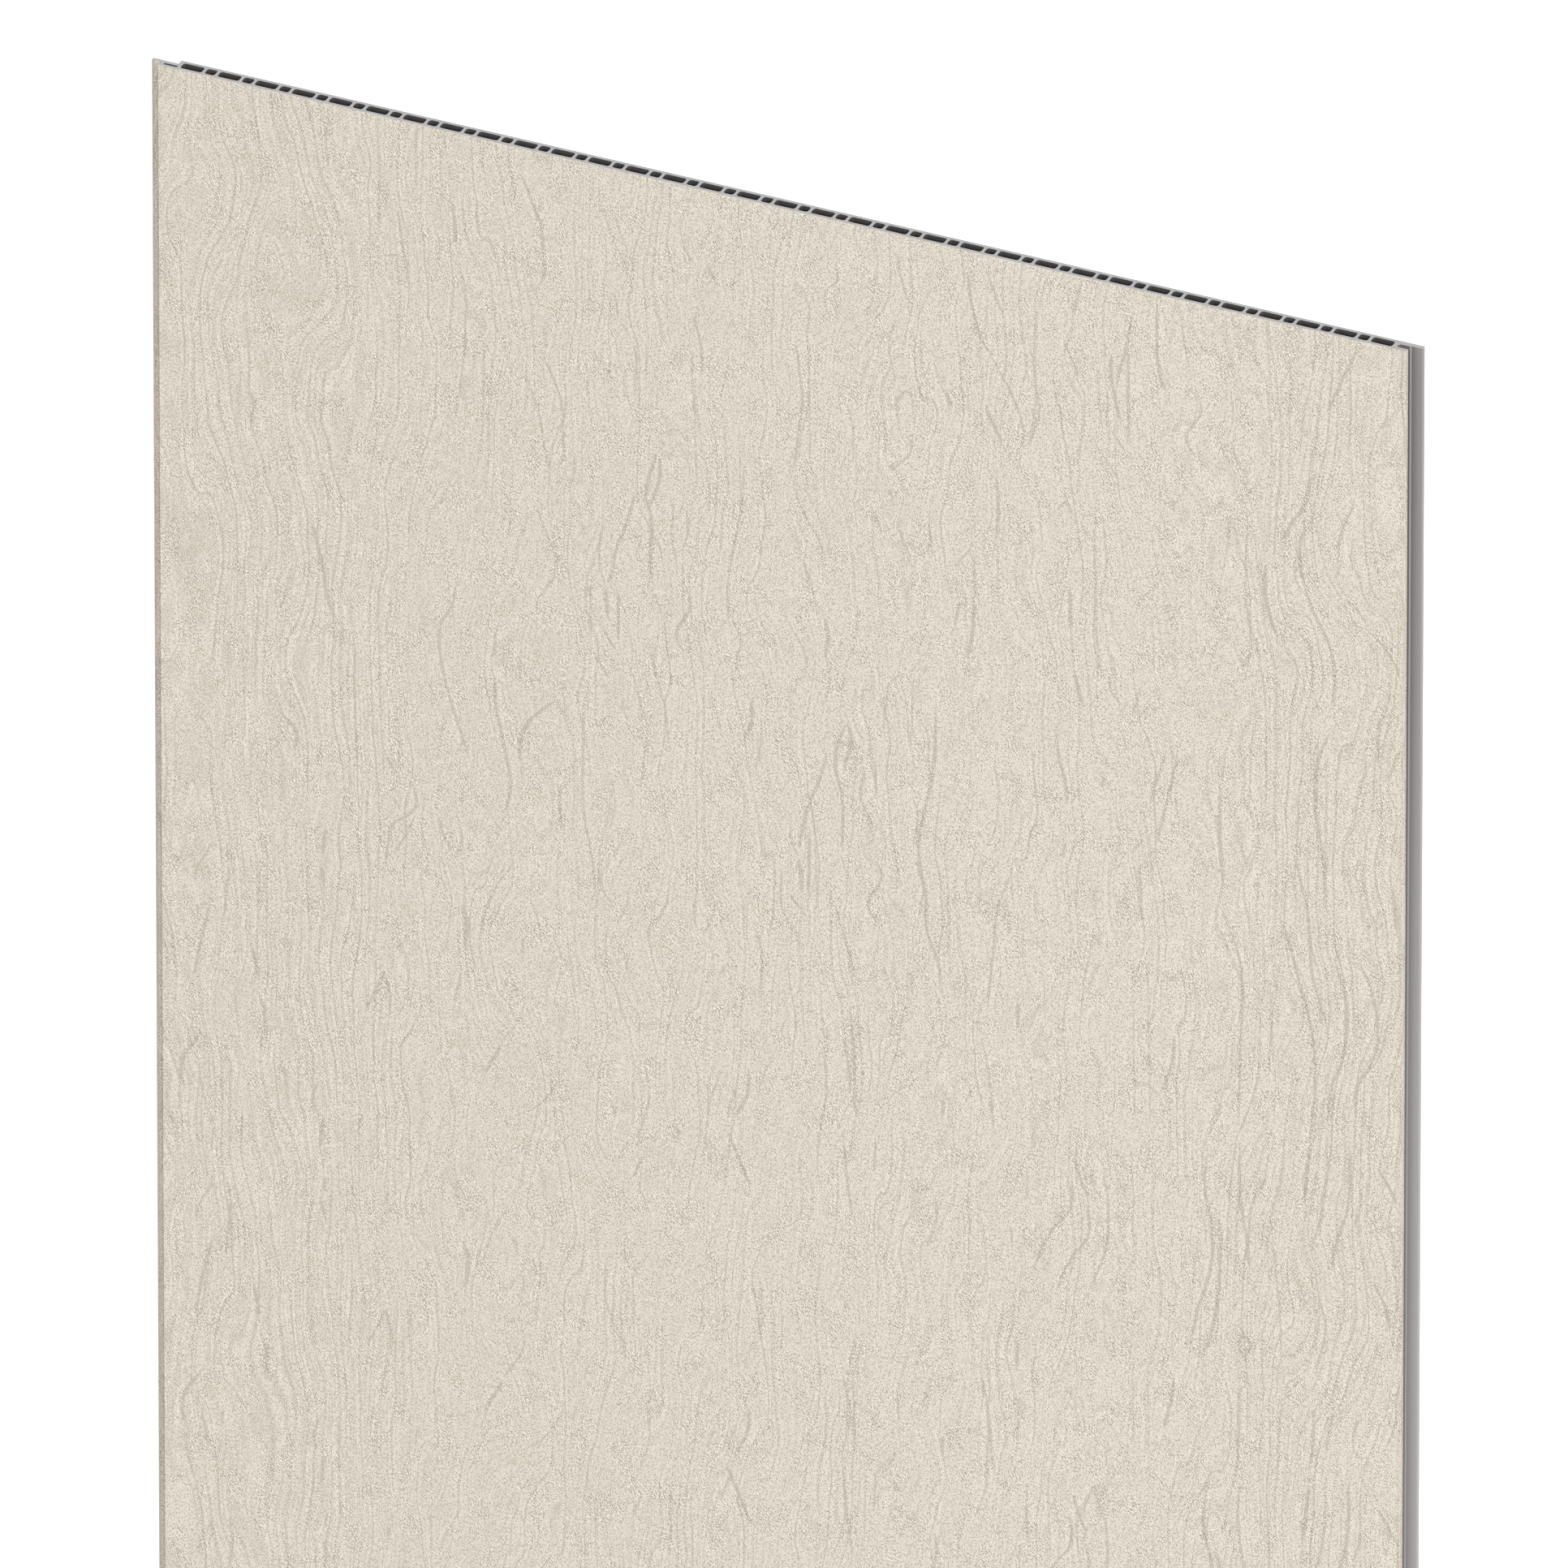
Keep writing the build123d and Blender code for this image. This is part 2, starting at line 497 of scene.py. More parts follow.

# %% [markdown]
# ## The strokes that catch the eye
# In the middle of the panel single dark strokes stand out, and no noise puts them where they are. They were
# traced, as one would draw over a print on tracing paper: a strength, then the points from the top
# down, each as two numbers, across and down, in 1024ths of the picture's width. They are turned into
# millimetres on the film at once.

# %% Strokes traced over the picture
strokes = [
    (1.0, 340, 110, 347, 130, 353, 146, 355, 166, 355, 182, 350, 190),
    (1.2, 295, 130, 297, 144, 298, 160),
    (0.7, 297, 168, 303, 182, 304, 212, 303, 232, 300, 258, 297, 278),
    (0.8, 260, 136, 262, 152, 265, 172, 267, 188),
    (0.6, 272, 80, 272, 124),
    (0.5, 213, 82, 213, 96, 215, 108),
    (0.6, 316, 220, 316, 260, 315, 284, 311, 312),
    (0.8, 353, 226, 361, 246, 367, 264, 368, 284, 368, 298, 363, 310),
    (0.7, 343, 242, 351, 266, 355, 286, 358, 304, 363, 310),
    (0.8, 375, 296, 375, 308, 372, 322),
    (1.0, 298, 378, 295, 396, 288, 408, 288, 430, 292, 448, 297, 466, 303, 484, 307, 498),
    (1.0, 318, 434, 322, 440, 324, 460, 328, 480, 332, 500, 334, 512, 331, 528, 329, 536),
    (0.9, 324, 412, 323, 429),
    (1.4, 363, 456, 355, 463, 345, 472, 340, 486, 340, 498),
    (0.7, 364, 456, 368, 468),
    (1.0, 366, 512, 366, 542),
    (0.7, 351, 330, 357, 348, 365, 366, 372, 376),
    (1.4, 253, 494, 257, 504),
    (1.2, 270, 512, 272, 526, 267, 532, 257, 538, 254, 550, 252, 568),
    (0.9, 271, 532, 265, 546, 258, 558),
    (0.8, 257, 522, 261, 528),
    (0.7, 288, 532, 289, 544, 295, 556),
    (0.7, 301, 540, 301, 554, 297, 559),
    (1.0, 213, 540, 211, 558),
    (1.3, 183, 464, 193, 476, 193, 490),
    (0.9, 233, 478, 233, 492),
    (1.3, 204, 338, 211, 370, 215, 394, 220, 406),
    (1.2, 165, 618, 169, 640),
    (0.9, 169, 648, 173, 660, 174, 680),
    (0.9, 251, 634, 244, 650, 239, 660),
    (0.9, 251, 634, 254, 646, 255, 664),
    (0.6, 264, 622, 267, 638, 266, 656),
    (0.8, 209, 704, 204, 718, 206, 728),
    (1.3, 211, 730, 209, 750),
    (1.1, 210, 566, 212, 578),
    (1.3, 302, 590, 305, 600, 304, 620),
    (0.6, 335, 562, 325, 578, 319, 590, 315, 610),
    (0.5, 321, 562, 307, 582),
    (1.4, 327, 682, 317, 702),
    (0.6, 343, 654, 335, 672, 327, 682),
    (0.5, 333, 632, 339, 654),
    (0.6, 369, 696, 361, 712, 349, 724, 331, 732),
    (0.5, 317, 740, 331, 758, 343, 776),
    (0.8, 342, 612, 341, 624),
    (1.3, 131, 674, 121, 688, 118, 700, 121, 712),
    (0.9, 145, 700, 144, 712),
    (1.1, 137, 588, 131, 616, 127, 640),
    (0.8, 131, 700, 135, 726),
    (0.8, 148, 548, 150, 566, 148, 584, 147, 600),
    (0.8, 138, 550, 128, 570, 128, 578),
    (0.6, 394, 132, 400, 155, 410, 177, 414, 192),
    (0.6, 401, 137, 407, 157, 415, 177),
    (1.0, 447, 160, 452, 172),
    (0.8, 401, 190, 404, 207),
    (0.9, 456, 200, 454, 210, 457, 220, 459, 245),
    (0.5, 452, 225, 452, 240, 454, 275, 455, 315),
    (0.6, 460, 165, 466, 182, 472, 189),
    (0.6, 484, 175, 481, 185, 474, 189),
    (0.7, 546, 172, 547, 182, 539, 192, 542, 210),
    (0.8, 520, 220, 522, 240, 524, 262, 521, 287, 519, 307),
    (0.5, 529, 255, 529, 307),
    (0.9, 519, 317, 525, 335, 536, 355, 538, 365),
    (0.6, 525, 315, 532, 332),
    (0.6, 552, 260, 557, 277, 557, 307),
    (0.8, 586, 165, 591, 190, 595, 200),
    (0.5, 585, 205, 581, 230, 585, 250),
    (1.2, 619, 257, 622, 267),
    (0.8, 596, 289, 594, 297, 582, 309),
    (0.6, 587, 300, 580, 306),
    (0.9, 571, 335, 576, 347),
    (0.6, 587, 345, 595, 365),
    (0.6, 607, 347, 606, 360, 597, 365),
    (0.7, 635, 355, 624, 372),
    (0.9, 636, 360, 637, 388),
    (1.2, 429, 295, 424, 312, 422, 325, 425, 335, 425, 370, 427, 385),
    (1.2, 431, 297, 431, 312, 425, 332),
    (0.7, 440, 327, 439, 350, 442, 370),
    (0.6, 449, 332, 449, 350),
    (1.0, 415, 320, 410, 340, 402, 360, 400, 375, 395, 383),
    (0.7, 392, 345, 392, 370, 395, 383),
    (0.6, 486, 300, 485, 325, 481, 350, 476, 375),
    (0.7, 479, 325, 479, 340),
    (0.9, 525, 365, 529, 382),
    (0.8, 415, 225, 416, 240, 414, 257),
    (0.6, 387, 227, 402, 252),
    (0.9, 632, 175, 635, 200, 640, 222),
    (1.4, 396, 384, 397, 404),
    (1.0, 404, 387, 404, 420),
    (1.1, 394, 410, 402, 425),
    (0.6, 386, 380, 386, 420),
    (1.0, 390, 429, 397, 442),
    (0.8, 428, 388, 432, 400),
    (1.0, 449, 385, 451, 395, 442, 417, 450, 431),
    (0.7, 424, 420, 430, 445, 434, 460, 437, 490),
    (0.6, 409, 427, 416, 450, 420, 477),
    (0.5, 406, 455, 412, 480),
    (0.7, 475, 382, 477, 400, 484, 420, 481, 432, 485, 447),
    (1.3, 491, 455, 491, 472, 487, 482),
    (0.7, 497, 472, 497, 487, 494, 502),
    (0.9, 469, 468, 471, 478),
    (0.7, 512, 400, 517, 410, 525, 425, 527, 437),
    (1.1, 539, 402, 541, 415, 539, 431),
    (1.2, 553, 471, 547, 487, 546, 502, 550, 520, 550, 557),
    (1.2, 554, 471, 556, 482, 551, 505),
    (0.9, 565, 502, 562, 520, 569, 540, 567, 546),
    (0.6, 572, 500, 572, 520),
    (1.0, 573, 562, 576, 572, 567, 592, 574, 605),
    (1.0, 540, 490, 535, 510, 527, 530, 522, 557),
    (0.8, 517, 535, 517, 550, 522, 560),
    (1.4, 522, 562, 524, 582),
    (0.9, 529, 542, 528, 587),
    (1.1, 517, 585, 527, 600),
    (0.7, 511, 565, 511, 592, 522, 617),
    (0.5, 532, 530, 534, 595),
    (0.6, 550, 560, 557, 580),
    (0.7, 546, 590, 557, 630, 558, 635),
    (1.0, 611, 450, 610, 500, 602, 540, 600, 562, 605, 587, 605, 605, 612, 627, 617, 651),
    (1.1, 627, 392, 624, 409),
    (1.2, 636, 390, 635, 417, 632, 430),
    (0.8, 634, 472, 637, 480),
    (0.8, 382, 452, 381, 487, 382, 535, 386, 555, 389, 592),
    (0.9, 392, 570, 394, 582, 397, 587),
    (0.6, 411, 580, 410, 590, 404, 602),
    (0.7, 458, 575, 466, 587, 465, 600, 460, 611),
    (0.7, 456, 575, 455, 605, 459, 611),
    (0.6, 490, 542, 494, 552),
    (0.6, 492, 600, 497, 620, 497, 655),
    (0.6, 396, 605, 397, 635, 404, 650, 406, 667),
    (0.6, 410, 620, 409, 637),
    (0.9, 595, 632, 596, 650),
    (0.5, 580, 445, 577, 480),
    (0.5, 597, 440, 595, 492),
    (1.2, 489, 698, 489, 712, 486, 720, 481, 730),
    (1.2, 475, 737, 481, 752, 487, 767, 491, 777),
    (0.6, 471, 697, 462, 727),
    (0.7, 480, 710, 475, 730),
    (0.6, 422, 695, 424, 720, 416, 745),
    (0.9, 419, 755, 414, 770),
    (0.9, 400, 720, 402, 728),
    (0.9, 438, 756, 440, 764),
    (0.7, 539, 687, 540, 712, 535, 745, 534, 765),
    (0.9, 551, 677, 555, 700, 555, 715),
    (0.8, 557, 670, 559, 730),
    (0.9, 551, 740, 554, 775, 557, 797),
    (0.7, 572, 742, 571, 767),
    (0.5, 585, 748, 590, 756),
    (0.5, 609, 675, 605, 707),
    (1.1, 616, 717, 616, 730),
    (0.8, 611, 780, 612, 795, 605, 817),
    (0.9, 634, 710, 634, 718),
    (0.8, 646, 180, 655, 207),
    (0.7, 635, 207, 650, 237, 662, 260, 670, 287),
    (1.4, 644, 265, 654, 290),
    (0.8, 677, 195, 677, 255, 679, 265, 671, 297),
    (0.9, 706, 185, 702, 205),
    (0.8, 695, 222, 705, 247),
    (1.0, 739, 207, 735, 230, 729, 252),
    (1.4, 726, 230, 726, 247, 731, 275),
    (0.9, 737, 225, 737, 292),
    (1.0, 726, 280, 735, 296),
    (0.5, 717, 240, 719, 282),
    (0.8, 716, 290, 730, 314),
    (1.0, 756, 197, 757, 242, 760, 255),
    (0.7, 772, 210, 776, 240),
    (0.9, 782, 257, 785, 267, 775, 287, 781, 301),
    (0.8, 651, 312, 652, 327, 651, 350),
    (0.8, 697, 326, 691, 333),
    (0.8, 697, 326, 700, 336),
    (0.7, 716, 325, 715, 355, 716, 392, 716, 410, 720, 450),
    (1.2, 699, 382, 699, 412),
    (1.2, 702, 440, 707, 460),
    (0.8, 725, 440, 726, 452, 732, 461),
    (0.7, 746, 447, 740, 467),
    (0.9, 766, 325, 767, 335),
    (1.0, 886, 227, 876, 250, 867, 272),
    (1.3, 856, 310, 852, 330, 842, 345, 839, 355),
    (1.0, 860, 332, 850, 352, 849, 365, 855, 392, 870, 427, 872, 445, 869, 470),
    (1.4, 827, 367, 826, 380, 830, 405, 835, 419),
    (0.8, 885, 325, 875, 352, 874, 370),
    (0.7, 815, 330, 814, 392, 817, 420, 814, 439),
    (0.8, 892, 410, 902, 420, 915, 445),
    (0.5, 827, 205, 830, 255),
    (0.9, 857, 232, 858, 242),
    (1.0, 870, 474, 861, 497, 859, 527, 864, 560, 866, 595),
    (1.0, 691, 482, 692, 497, 696, 510, 697, 527),
    (0.9, 761, 490, 752, 525),
    (0.9, 769, 492, 762, 525, 756, 552),
    (0.9, 721, 505, 720, 515),
    (0.9, 747, 547, 741, 556),
    (0.9, 744, 562, 745, 580, 746, 602),
    (0.9, 696, 548, 694, 562),
    (0.7, 661, 567, 652, 592, 649, 620, 645, 662),
    (1.1, 665, 655, 665, 672),
    (0.8, 797, 510, 797, 560, 800, 585),
    (0.9, 810, 550, 814, 565),
    (0.8, 805, 605, 811, 635, 810, 685, 809, 735),
    (1.0, 834, 595, 840, 610, 847, 635, 857, 675, 859, 710, 856, 747),
    (0.8, 847, 560, 855, 600, 857, 635, 867, 675),
    (0.9, 871, 620, 880, 660, 877, 690, 870, 710, 867, 735),
    (1.0, 885, 620, 895, 645, 900, 675, 897, 692, 886, 712, 885, 730),
    (1.2, 910, 580, 912, 610),
    (0.6, 830, 640, 830, 660, 832, 697),
    (1.1, 901, 467, 900, 500),
    (0.9, 914, 490, 907, 510),
    (0.5, 750, 622, 751, 735),
    (0.5, 740, 622, 741, 735),
    (0.7, 641, 675, 645, 695, 649, 742),
    (1.2, 702, 755, 705, 768, 710, 782),
    (0.9, 700, 768, 699, 790, 690, 800, 680, 817, 674, 835),
    (0.9, 710, 786, 711, 807, 701, 820, 690, 845),
    (0.8, 722, 765, 724, 790, 722, 817, 715, 835, 711, 847),
    (0.7, 671, 762, 671, 785),
    (0.8, 660, 800, 661, 812),
    (1.0, 789, 747, 787, 777, 792, 802, 790, 832, 782, 857, 777, 887),
    (1.0, 794, 787, 797, 802, 797, 827, 794, 857, 790, 875, 784, 890),
    (1.1, 767, 675, 766, 692, 761, 712),
    (0.9, 810, 745, 810, 780, 815, 815, 816, 832),
    (1.0, 812, 871, 809, 879, 812, 886),
    (1.0, 814, 871, 817, 878, 814, 886),
    (0.8, 829, 828, 829, 838),
    (0.9, 780, 830, 779, 839),
    (1.3, 856, 748, 854, 765, 852, 787),
    (0.7, 867, 740, 865, 785, 856, 822),
    (1.0, 882, 747, 880, 790, 872, 815, 870, 832),
    (0.7, 890, 780, 885, 802),
    (1.3, 901, 764, 907, 775, 912, 787),
    (1.1, 897, 835, 906, 857, 907, 870),
    (0.7, 862, 847, 866, 867, 859, 900),
    (0.7, 831, 805, 835, 845, 837, 890),
]
traced = []
for strength, *values in strokes:
    points = zip(values[0::2], values[1::2])
    traced.append((strength, sorted(place_under(x, y)[::-1] for x, y in points)))
print(len(traced), "strokes traced")


# %% [markdown]
# ## Contours of a rolling height
# A printed wood grain could be painted as a picture, but lines worked out from a height stay sharp at any
# distance and never show a seam. The bends are noise in four sizes, each a strength in millimetres, what is
# added to it in the middle of the panel, and its size across and along. The steepness is worked out beside
# the height, because a line keeps its width only if the distance from its contour is divided by that.

# %% Height of the grain
bends = [
    (60.0, 0.0, (140, 480, 1)),
    (22.0, 0.0, (46, 160, 1)),
    (9.0, 8.0, (17, 58, 1)),
    (2.5, 1.5, (7, 21, 1)),
]
LEFT_BUNDLE_ENDS = (85.0, 140.0)
RIGHT_BUNDLE_STARTS = (490.0, 535.0)
SLOPE_STEP = 0.6
LEAST_SLOPE = 0.25


def side_bundles(tree, across):
    """1 in the two bundles of grain near the panel's edges and 0 in the middle, by millimetres across."""
    left = ease(tree, across, *LEFT_BUNDLE_ENDS, 1.0, 0.0)
    return calculate(tree, "MAXIMUM", left, ease(tree, across, *RIGHT_BUNDLE_STARTS))


def roller_place():
    """Place with its length along folded back by the roller's round beyond the first repeat."""
    group, given, result = new_group("roller place", ["Place"], ["Place"])
    parts = parts_of(group, given["Place"])
    beyond = calculate(group, "MAXIMUM", calculate(group, "SUBTRACT", parts["Y"], FIRST_REPEAT), 0.0)
    before = calculate(group, "MINIMUM", parts["Y"], FIRST_REPEAT)
    along = calculate(group, "ADD", before, calculate(group, "MODULO", beyond, REPEAT))
    group.links.new(place_of(group, parts["X"], along), result["Place"])
    return group


on_the_roller = roller_place()


def drawn_curve(tree, along, points, low, high, straight=()):
    """The value at a length along of a curve through (along, value) points, bent except at straight ones."""
    share = calculate(tree, "DIVIDE", along, ROLLER_LENGTH)
    node = add_node(tree, "ShaderNodeFloatCurve", {"Value": share})
    curve = node.mapping.curves[0]
    placed = [(where / ROLLER_LENGTH, (value - low) / (high - low)) for where, value in points]
    curve.points[0].location, curve.points[1].location = placed[0], placed[-1]
    for point in placed[1:-1]:
        curve.points.new(*point)
    for index in straight:
        curve.points[index].handle_type = "VECTOR"
    node.mapping.update()
    return calculate(tree, "MULTIPLY_ADD", node.outputs[0], high - low, low)


def hill():
    """Push = exp(-|(Place - Centre) / Size| squared): one round hill with its height 1 at Centre."""
    group, given, result = new_group("hill", ["Place", "Centre", "Size"], ["Push"])
    apart = vector_math(group, "SUBTRACT", given["Place"], given["Centre"])[0]
    apart = vector_math(group, "DIVIDE", apart, given["Size"])[0]
    square = vector_math(group, "DOT_PRODUCT", apart, apart)["Value"]
    push = calculate(group, "EXPONENT", calculate(group, "MULTIPLY", square, -1.0))
    group.links.new(push, result["Push"])
    return group


def rolling_height():
    """The height whose contours are the grain, in millimetres: across, less swings, plus knots and noise."""
    group, given, result = new_group("rolling height", ["Place"], ["Height"])
    total = parts_of(group, given["Place"])["X"]
    folded = use(group, on_the_roller, Place=given["Place"])[0]
    parts = parts_of(group, folded)
    only_across = place_of(group, parts["X"])
    hills = hill()
    for across, half_width, points in swings.values():
        swing = drawn_curve(group, parts["Y"], points, -SWING_REACH, SWING_REACH)
        near = use(group, hills, Place=only_across, Centre=(across, 0, 0), Size=(half_width, 1, 1))[0]
        total = calculate(group, "SUBTRACT", total, calculate(group, "MULTIPLY", swing, near))
    for across, along, half_width, half_height, push in knots:
        size = (half_width, half_height, 1)
        near = use(group, hills, Place=folded, Centre=(across, along, 0), Size=size)[0]
        total = calculate(group, "MULTIPLY_ADD", near, push, total)
    middle = calculate(group, "SUBTRACT", 1.0, side_bundles(group, parts["X"]))
    for strength, more_in_middle, size in bends:
        amount = calculate(group, "MULTIPLY_ADD", middle, more_in_middle, strength)
        total = calculate(group, "MULTIPLY_ADD", noise(group, given["Place"], size), amount, total)
    group.links.new(total, result["Height"])
    return group


def sloped_height():
    """The rolling height and its steepness across, from the height a short step to the side."""
    group, given, result = new_group("sloped height", ["Place"], ["Height", "Slope"])
    rolling = rolling_height()
    here = use(group, rolling, Place=given["Place"])[0]
    aside = vector_math(group, "ADD", given["Place"], (SLOPE_STEP, 0, 0))[0]
    there = use(group, rolling, Place=aside)[0]
    slope = calculate(group, "DIVIDE", calculate(group, "SUBTRACT", there, here), SLOPE_STEP)
    group.links.new(here, result["Height"])
    group.links.new(calculate(group, "ABSOLUTE", slope), result["Slope"])
    return group


# %% [markdown]
# ## Lines on the contours
# A line has a dark core, which rises faster on its left than it falls on its right, and a pale rim out to
# some widths from it, which is a painted highlight. Each line reads its own row of a noise, so it fades in
# and out by itself and none goes on for ever. Rarity sets how much of a line is left out.

# %% Contour lines
RIM_REACH = 2.6
LEVEL_STEP = 7.31
FADE_SPAN = 0.25


def contour_lines():
    """Lines where Height is a whole number of Spacing, Width wide in millimetres, each fading by itself."""
    group, given, result = new_group(
        "contour lines", ["Height", "Slope", "Place", "Spacing", "Width", "Run", "Rarity"], ["Line", "Painted rim"])
    height = calculate(group, "DIVIDE", given["Height"], given["Spacing"])
    level = calculate(group, "ROUND", height)
    beside = calculate(group, "MULTIPLY", calculate(group, "SUBTRACT", height, level), given["Spacing"])
    beside = calculate(group, "DIVIDE", beside, calculate(group, "MAXIMUM", given["Slope"], LEAST_SLOPE))
    along = calculate(group, "DIVIDE", parts_of(group, given["Place"])["Y"], given["Run"])
    own_place = place_of(group, calculate(group, "MULTIPLY", level, LEVEL_STEP), along)
    fade = noise(group, own_place, (1, 1, 1), detail=1.0)
    fade = ease(group, fade, given["Rarity"], calculate(group, "ADD", given["Rarity"], FADE_SPAN))
    width = calculate(group, "MULTIPLY", given["Width"], calculate(group, "MULTIPLY_ADD", fade, 0.6, 0.4))
    rise = ease(group, beside, calculate(group, "MULTIPLY", width, -0.6), 0.0)
    fall = ease(group, beside, 0.0, width, 1.0, 0.0)
    line = calculate(group, "MULTIPLY", rise, fall)
    group.links.new(calculate(group, "MULTIPLY", line, fade), result["Line"])
    away = calculate(group, "ABSOLUTE", beside)
    # painted highlight: a pale rim beside the line
    painted_rim = ease(group, away, width, calculate(group, "MULTIPLY", width, RIM_REACH), 1.0, 0.0)
    group.links.new(calculate(group, "MULTIPLY", painted_rim, fade), result["Painted rim"])
    return group


# %% [markdown]
# ## Strokes as curves
# A stroke's middle is a curve of its place across over its place along. One curve node holds all the strokes
# of a column that never overlap along the panel, and a second one holds their strengths, which fall to
# nothing between two strokes. So a few dozen nodes draw them all, far quicker than a node for each stroke.
# A curve node keeps 256 samples, and a stroke's ends and the gap to the next are counted in their steps.

# %% Traced strokes
CURVE_STEP = ROLLER_LENGTH / 255
SHORTEST_GAP = 3.3 * CURVE_STEP
TAPER = 0.12
FACE_SPAN = 620.0
STRONGEST = 1.5


def stroke_columns():
    """Puts each stroke into the first column that is free where it begins."""
    columns = []
    for strength, points in sorted(traced, key=lambda stroke: stroke[1][0]):
        free = [column for column in columns if column[-1][1][-1][0] + SHORTEST_GAP < points[0][0]]
        if free:
            free[0].append((strength, points))
        else:
            columns.append([(strength, points)])
    return columns


def traced_strokes():
    """Dark lines along the traced strokes. Each column has a curve for its path and one for its strength."""
    group, given, result = new_group("traced strokes", ["Place"], ["Line", "Painted rim"])
    parts = parts_of(group, use(group, on_the_roller, Place=given["Place"])[0])
    total = 0.0
    painted_rims = 0.0
    columns = stroke_columns()
    for column in columns:
        path = []
        ends = []
        force = [(0.0, 0.0)]
        for strength, points in column:
            first, last = points[0][0], points[-1][0]
            taper = TAPER * (last - first)
            ends += [len(path), len(path) + len(points) + 1]
            path += [(first - CURVE_STEP, points[0][1]), *points, (last + CURVE_STEP, points[-1][1])]
            force += [(first, 0.0), (first + taper, strength), (last - taper, strength), (last, 0.0)]
        force.append((ROLLER_LENGTH, 0.0))
        middle = drawn_curve(group, parts["Y"], path, 0.0, FACE_SPAN, ends)
        force = drawn_curve(group, parts["Y"], force, 0.0, STRONGEST, range(len(force)))
        beside = calculate(group, "ABSOLUTE", calculate(group, "SUBTRACT", parts["X"], middle))
        width = calculate(group, "MULTIPLY_ADD", force, 0.6, 0.75)
        line = calculate(group, "MULTIPLY", ease(group, beside, 0.0, width, 1.0, 0.0), force)
        total = calculate(group, "ADD", total, line)
        # painted highlight: a pale rim beside the stroke
        painted_rim = ease(group, beside, width, calculate(group, "MULTIPLY", width, RIM_REACH), 1.0, 0.0)
        painted_rims = calculate(group, "MULTIPLY_ADD", painted_rim, force, painted_rims)
    group.links.new(total, result["Line"])
    group.links.new(painted_rims, result["Painted rim"])
    print(len(traced), "strokes in", len(columns), "columns")
    return group


# %% [markdown]
# ## The film's lines and specks
# Two layers of contour lines and the traced strokes add up to one darkness. The specks are less than a
# millimetre across. They are a slanting slice through solid noise, because a slice along the noise's own
# grid would show the grid as a weave. The emboss is a fine pattern drawn out at 45 degrees.

# %% Film lines and specks
SPECK_SIZE = (0.5, 0.5, 0.5)
SPECK_TURN = (38, 27, 20)
EMBOSS_SIZE = (0.65, 1.4, 1)
EMBOSS_TURN = 45


def film_lines(tree, place, height, bundled):
    """How dark the lines make a place, and how far it lies in their pale rims, a painted highlight."""
    lines = contour_lines()
    rarity = calculate(tree, "MULTIPLY_ADD", bundled, -0.08, 0.38)
    grain = {"Place": place, "Height": height["Height"]}
    bold = {"Slope": height["Slope"], "Spacing": 6.5, "Width": 1.2, "Run": 110.0, "Rarity": rarity}
    bold = use(tree, lines, **grain, **bold)
    fine = {"Slope": 1.0, "Spacing": 2.7, "Width": 0.85, "Run": 60.0, "Rarity": 0.32}
    fine = use(tree, lines, **grain, **fine)
    drawn = use(tree, traced_strokes(), Place=place)
    bold_strength = calculate(tree, "MULTIPLY_ADD", bundled, 0.05, 0.65)
    strength = calculate(tree, "MULTIPLY", bold["Line"], bold_strength)
    strength = calculate(tree, "MULTIPLY_ADD", fine["Line"], 0.45, strength)
    strength = calculate(tree, "MULTIPLY_ADD", drawn["Line"], 1.15, strength)
    strength = calculate(tree, "MINIMUM", strength, 1.2)
    painted_rim = calculate(tree, "MULTIPLY_ADD", fine["Painted rim"], 0.35, bold["Painted rim"])
    painted_rim = calculate(tree, "ADD", painted_rim, drawn["Painted rim"])
    painted_rim = calculate(tree, "MINIMUM", painted_rim, 1.0)
    return strength, calculate(tree, "MULTIPLY", painted_rim, calculate(tree, "SUBTRACT", 1.0, strength))


def film_specks(tree, place):
    """Noise of the specks, a little drawn out along the length."""
    squeezed = vector_math(tree, "MULTIPLY", place, (1.0, 0.8, 1.0))[0]
    turned = {"Vector": squeezed, "Rotation": [math.radians(angle) for angle in SPECK_TURN]}
    slanted = add_node(tree, "ShaderNodeVectorRotate", turned, rotation_type="EULER_XYZ").outputs[0]
    return noise(tree, slanted, SPECK_SIZE, flat=False)


def film_emboss(tree, place):
    """Height of the embossed pattern, worms drawn out along a slanting line."""
    turned = {"Vector": place, "Angle": math.radians(EMBOSS_TURN)}
    turned = add_node(tree, "ShaderNodeVectorRotate", turned, rotation_type="Z_AXIS").outputs[0]
    return noise(tree, turned, EMBOSS_SIZE, detail=1.0)
